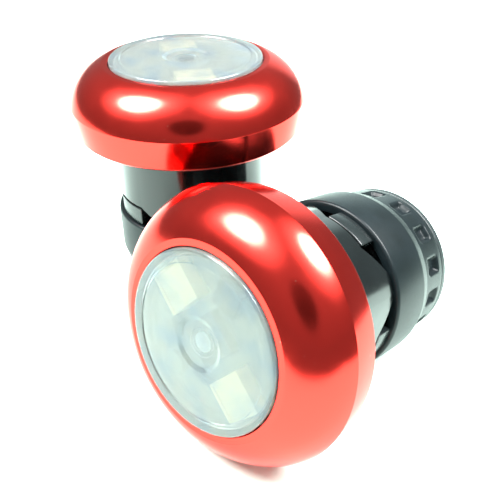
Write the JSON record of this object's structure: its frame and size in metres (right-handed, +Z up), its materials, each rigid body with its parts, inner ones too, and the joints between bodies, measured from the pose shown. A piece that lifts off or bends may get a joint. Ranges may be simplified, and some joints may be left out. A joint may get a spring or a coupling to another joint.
{
  "type": "bar end light plugs",
  "caption": "Pair of push-button LED handlebar end plugs with a red crowned metal bezel, milky lens, black neck and cam-squeezed rubber tail sleeve.",
  "frame": {"origin": "on the ground under the middle of the pair's bounding box, with one plug standing on its tail and the other lying in front of it", "axes": "+Z up, along the standing plug towards its lens; -Y towards the side that the lying plug's lens faces"},
  "size_m": [0.0454, 0.0558, 0.0325],
  "materials": {
    "red_anodised": "bright anodised",
    "lens_clear": "milky polycarbonate, polished outside and frosted inside",
    "silicone_grey": "matt",
    "housing_black": "polished mould",
    "oring_rubber": "matt",
    "cam_black": "satin mould",
    "sleeve_rubber": "matt with a fine bloom",
    "cap_black": "fine spark texture",
    "screw_steel": "zinc plated",
    "insert_brass": "turned",
    "board_white": "solder mask",
    "led_package": "yellow phosphor in a white case",
    "switch_black": "moulded",
    "switch_white": "moulded",
    "chip_black": "moulded epoxy",
    "resistor_black": "glazed ceramic",
    "contact_nickel": "nickel plated spring strip",
    "cell_steel": "drawn and polished"
  },
  "bodies": {
    "standing_housing_group": {"standing_housing": "housing_black", "standing_flange_oring": "oring_rubber", "standing_threaded_insert": "insert_brass", "standing_anchor_screw": "screw_steel", "standing_screw_washer": "screw_steel", "standing_circuit_board": "board_white", "standing_led_upper": "led_package", "standing_led_lower": "led_package", "standing_switch_case": "switch_black", "standing_driver_chip": "chip_black", "standing_chip_resistors": "resistor_black", "standing_board_screws": "screw_steel", "standing_contact_plate": "contact_nickel", "standing_front_cell": "cell_steel", "standing_rear_cell": "cell_steel", "standing_cell_spring": "contact_nickel", "standing_negative_strip": "contact_nickel"},
    "standing_seal_group": {"standing_lens_seal": "silicone_grey"},
    "standing_bezel_group": {"standing_bezel": "red_anodised"},
    "standing_lens_group": {"standing_lens": "lens_clear"},
    "standing_plunger_group": {"standing_switch_plunger": "switch_white"},
    "standing_tail_group": {"standing_end_cap": "cap_black", "standing_expander_sleeve": "sleeve_rubber"},
    "standing_cam_group": {"standing_cam_ring": "cam_black"},
    "lying_housing_group": {"lying_housing": "housing_black", "lying_flange_oring": "oring_rubber", "lying_threaded_insert": "insert_brass", "lying_anchor_screw": "screw_steel", "lying_screw_washer": "screw_steel", "lying_circuit_board": "board_white", "lying_led_upper": "led_package", "lying_led_lower": "led_package", "lying_switch_case": "switch_black", "lying_driver_chip": "chip_black", "lying_chip_resistors": "resistor_black", "lying_board_screws": "screw_steel", "lying_contact_plate": "contact_nickel", "lying_front_cell": "cell_steel", "lying_rear_cell": "cell_steel", "lying_cell_spring": "contact_nickel", "lying_negative_strip": "contact_nickel"},
    "lying_seal_group": {"lying_lens_seal": "silicone_grey"},
    "lying_bezel_group": {"lying_bezel": "red_anodised"},
    "lying_lens_group": {"lying_lens": "lens_clear"},
    "lying_plunger_group": {"lying_switch_plunger": "switch_white"},
    "lying_tail_group": {"lying_end_cap": "cap_black", "lying_expander_sleeve": "sleeve_rubber"},
    "lying_cam_group": {"lying_cam_ring": "cam_black"}
  },
  "joints": [
    {"name": "lying_lift", "type": "slide", "parent": "standing_housing_group", "child": "lying_housing_group", "axis": [0, 0, 1], "range_m": [0, 0.08]},
    {"name": "standing_bezel_turn", "type": "hinge", "parent": "standing_seal_group", "child": "standing_bezel_group", "pos_m": [-0.00815, 0.01328, 0.0267], "axis": [0, 0, 1], "range_deg": [0, 1260]},
    {"name": "standing_bezel_travel", "type": "slide", "parent": "standing_housing_group", "child": "standing_seal_group", "axis": [0, 0, 1], "range_m": [0, 0.0035]},
    {"name": "standing_lens_press", "type": "slide", "parent": "standing_seal_group", "child": "standing_lens_group", "axis": [0, 0, -1], "range_m": [0, 0.00025], "stiffness_N_per_m": 6000},
    {"name": "standing_switch_press", "type": "slide", "parent": "standing_housing_group", "child": "standing_plunger_group", "axis": [0, 0, -1], "range_m": [0, 0.00025]},
    {"name": "standing_tail_twist", "type": "hinge", "parent": "standing_housing_group", "child": "standing_tail_group", "pos_m": [-0.00815, 0.01328, 0.0057], "axis": [0, 0, 1], "range_deg": [0, 21]},
    {"name": "standing_cam_slide", "type": "slide", "parent": "standing_tail_group", "child": "standing_cam_group", "axis": [0, 0, -1], "range_m": [0, 0.00242], "deforming": ["standing_expander_sleeve"]},
    {"name": "lying_bezel_turn", "type": "hinge", "parent": "lying_seal_group", "child": "lying_bezel_group", "pos_m": [-0.00169, -0.01625, 0.0144], "axis": [-0.6631, -0.7211, 0.2009], "range_deg": [0, 1260]},
    {"name": "lying_bezel_travel", "type": "slide", "parent": "lying_housing_group", "child": "lying_seal_group", "axis": [-0.6631, -0.7211, 0.2009], "range_m": [0, 0.0035]},
    {"name": "lying_lens_press", "type": "slide", "parent": "lying_seal_group", "child": "lying_lens_group", "axis": [0.6631, 0.7211, -0.2009], "range_m": [0, 0.00025], "stiffness_N_per_m": 6000},
    {"name": "lying_switch_press", "type": "slide", "parent": "lying_housing_group", "child": "lying_plunger_group", "axis": [0.6631, 0.7211, -0.2009], "range_m": [0, 0.00025]},
    {"name": "lying_tail_twist", "type": "hinge", "parent": "lying_housing_group", "child": "lying_tail_group", "pos_m": [0.01224, -0.00111, 0.01019], "axis": [-0.6631, -0.7211, 0.2009], "range_deg": [0, 21]},
    {"name": "lying_cam_slide", "type": "slide", "parent": "lying_tail_group", "child": "lying_cam_group", "axis": [0.6631, 0.7211, -0.2009], "range_m": [0, 0.00242], "deforming": ["lying_expander_sleeve"]}
  ],
  "couplings": [
    {"joint": "standing_bezel_travel", "follows": "standing_bezel_turn", "m_per_rad": 0.00015915},
    {"joint": "standing_switch_press", "follows": "standing_lens_press", "ratio": 1},
    {"joint": "standing_cam_slide", "follows": "standing_tail_twist", "m_per_rad": 0.0066117},
    {"joint": "lying_bezel_travel", "follows": "lying_bezel_turn", "m_per_rad": 0.00015915},
    {"joint": "lying_switch_press", "follows": "lying_lens_press", "ratio": 1},
    {"joint": "lying_cam_slide", "follows": "lying_tail_twist", "m_per_rad": 0.0066117}
  ]
}
